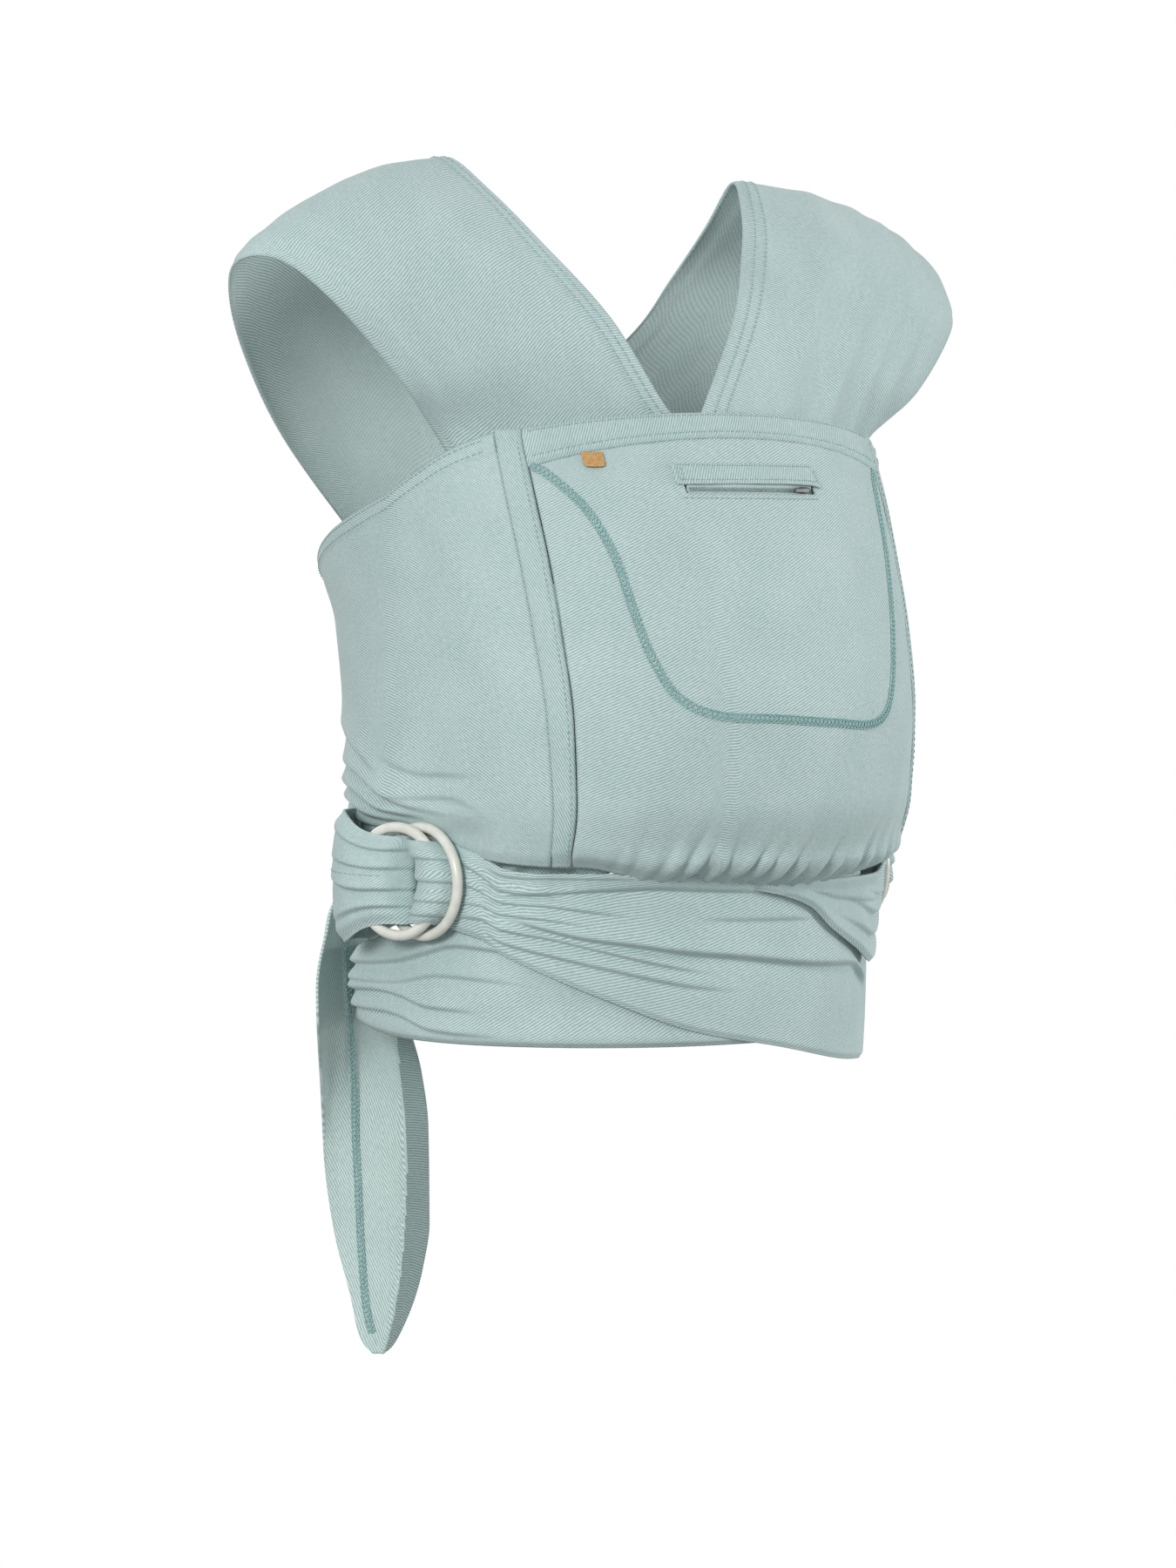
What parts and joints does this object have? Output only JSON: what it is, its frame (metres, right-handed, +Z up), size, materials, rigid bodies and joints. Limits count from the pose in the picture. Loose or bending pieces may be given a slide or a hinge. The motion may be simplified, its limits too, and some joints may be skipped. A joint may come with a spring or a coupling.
{
  "type": "baby wrap sling",
  "caption": "Cloth wrap carrier in its worn shape: crossing shoulder straps through hip ring pairs, pocketed front panel, side wings, waist wraps and a hanging strap tail.",
  "frame": {"origin": "on the wearer's centre line at the height of the hip rings", "axes": "+Z up, -Y the wearer's front, -X the wearer's right side"},
  "size_m": [0.4608, 0.3266, 0.6438],
  "materials": {
    "cloth": "matte diagonal twill weave, sage green-blue cotton",
    "thread": "matte polyester thread, darker teal",
    "ring_metal": "satin ivory coating",
    "tab_leather": "smooth tan, blank",
    "zip_tape": "woven tape with coil",
    "zip_metal": "dark enamel"
  },
  "bodies": {
    "wrap": {"anchor_loop_left": "cloth", "anchor_loop_right": "cloth", "back_cross_loop": "cloth", "front_panel": "cloth", "front_panel_lining": "cloth", "panel_side_band_left": "cloth", "panel_side_band_right": "cloth", "panel_top_band": "cloth", "pocket_bag": "cloth", "pocket_cover_stitch": "thread", "pocket_zip_tape": "zip_tape", "pocket_zip_teeth": "zip_tape", "strap_left_neck_hem": "cloth", "strap_left_shoulder": "cloth", "strap_right_neck_hem": "cloth", "strap_right_shoulder": "cloth", "waist_band": "cloth", "waist_fan_left": "cloth", "waist_fan_right": "cloth", "wing_left": "cloth", "wing_left_binding": "cloth", "wing_right": "cloth", "wing_right_binding": "cloth"},
    "ring_pair_right": {"ring_tongue_right": "cloth"},
    "ring_right_front_spin": {"ring_right_front": "ring_metal"},
    "ring_right_rear_spin": {"ring_right_rear": "ring_metal"},
    "ring_pair_left": {"ring_tongue_left": "cloth"},
    "ring_left_front_spin": {"ring_left_front": "ring_metal"},
    "ring_left_rear_spin": {"ring_left_rear": "ring_metal"},
    "tail": {"tail_front_panel": "cloth", "tail_back_panel": "cloth", "tail_cover_stitch": "thread"},
    "tab": {"side_tab": "tab_leather"},
    "welt": {"pocket_welt": "cloth"},
    "zip_runner": {"pocket_zip_slider": "zip_metal"}
  },
  "joints": [
    {"name": "ring_pair_right_tilt", "type": "hinge", "parent": "wrap", "child": "ring_pair_right", "pos_m": [-0.15363, 0.00618, 0.0065], "axis": [0, 0, -1], "range_deg": [0, 12]},
    {"name": "ring_right_front_spin", "type": "hinge", "parent": "ring_pair_right", "child": "ring_right_front_spin", "pos_m": [-0.14295, -0.02635, 0.0065], "axis": [-0.9891, -0.1472, 0], "continuous": true},
    {"name": "ring_right_rear_spin", "type": "hinge", "parent": "ring_pair_right", "child": "ring_right_rear_spin", "pos_m": [-0.15219, -0.017, 0.0065], "axis": [-0.959, -0.2834, 0], "continuous": true},
    {"name": "ring_pair_left_tilt", "type": "hinge", "parent": "wrap", "child": "ring_pair_left", "pos_m": [0.15363, 0.00618, 0.0065], "axis": [0, 0, 1], "range_deg": [0, 12]},
    {"name": "ring_left_front_spin", "type": "hinge", "parent": "ring_pair_left", "child": "ring_left_front_spin", "pos_m": [0.14295, -0.02635, 0.0065], "axis": [0.9891, -0.1472, 0], "continuous": true},
    {"name": "ring_left_rear_spin", "type": "hinge", "parent": "ring_pair_left", "child": "ring_left_rear_spin", "pos_m": [0.15219, -0.017, 0.0065], "axis": [0.959, -0.2834, 0], "continuous": true},
    {"name": "tail_swing", "type": "hinge", "parent": "wrap", "child": "tail", "pos_m": [-0.09563, 0.12244, 0.02], "axis": [0.8302, 0.5575, 0], "range_deg": [0, 25]},
    {"name": "side_tab_flip", "type": "hinge", "parent": "wrap", "child": "tab", "pos_m": [-0.08335, -0.09572, 0.22898], "axis": [-0.8967, 0.4427, 0], "range_deg": [0, 75]},
    {"name": "pocket_welt_lift", "type": "hinge", "parent": "wrap", "child": "welt", "pos_m": [0, -0.11752, 0.2235], "axis": [-1, 0, 0], "range_deg": [0, 20]},
    {"name": "zip_runner_travel", "type": "hinge", "parent": "wrap", "child": "zip_runner", "pos_m": [0, 0.06232, 0.21], "axis": [0, 0, -1], "range_deg": [0, 19.42]}
  ]
}
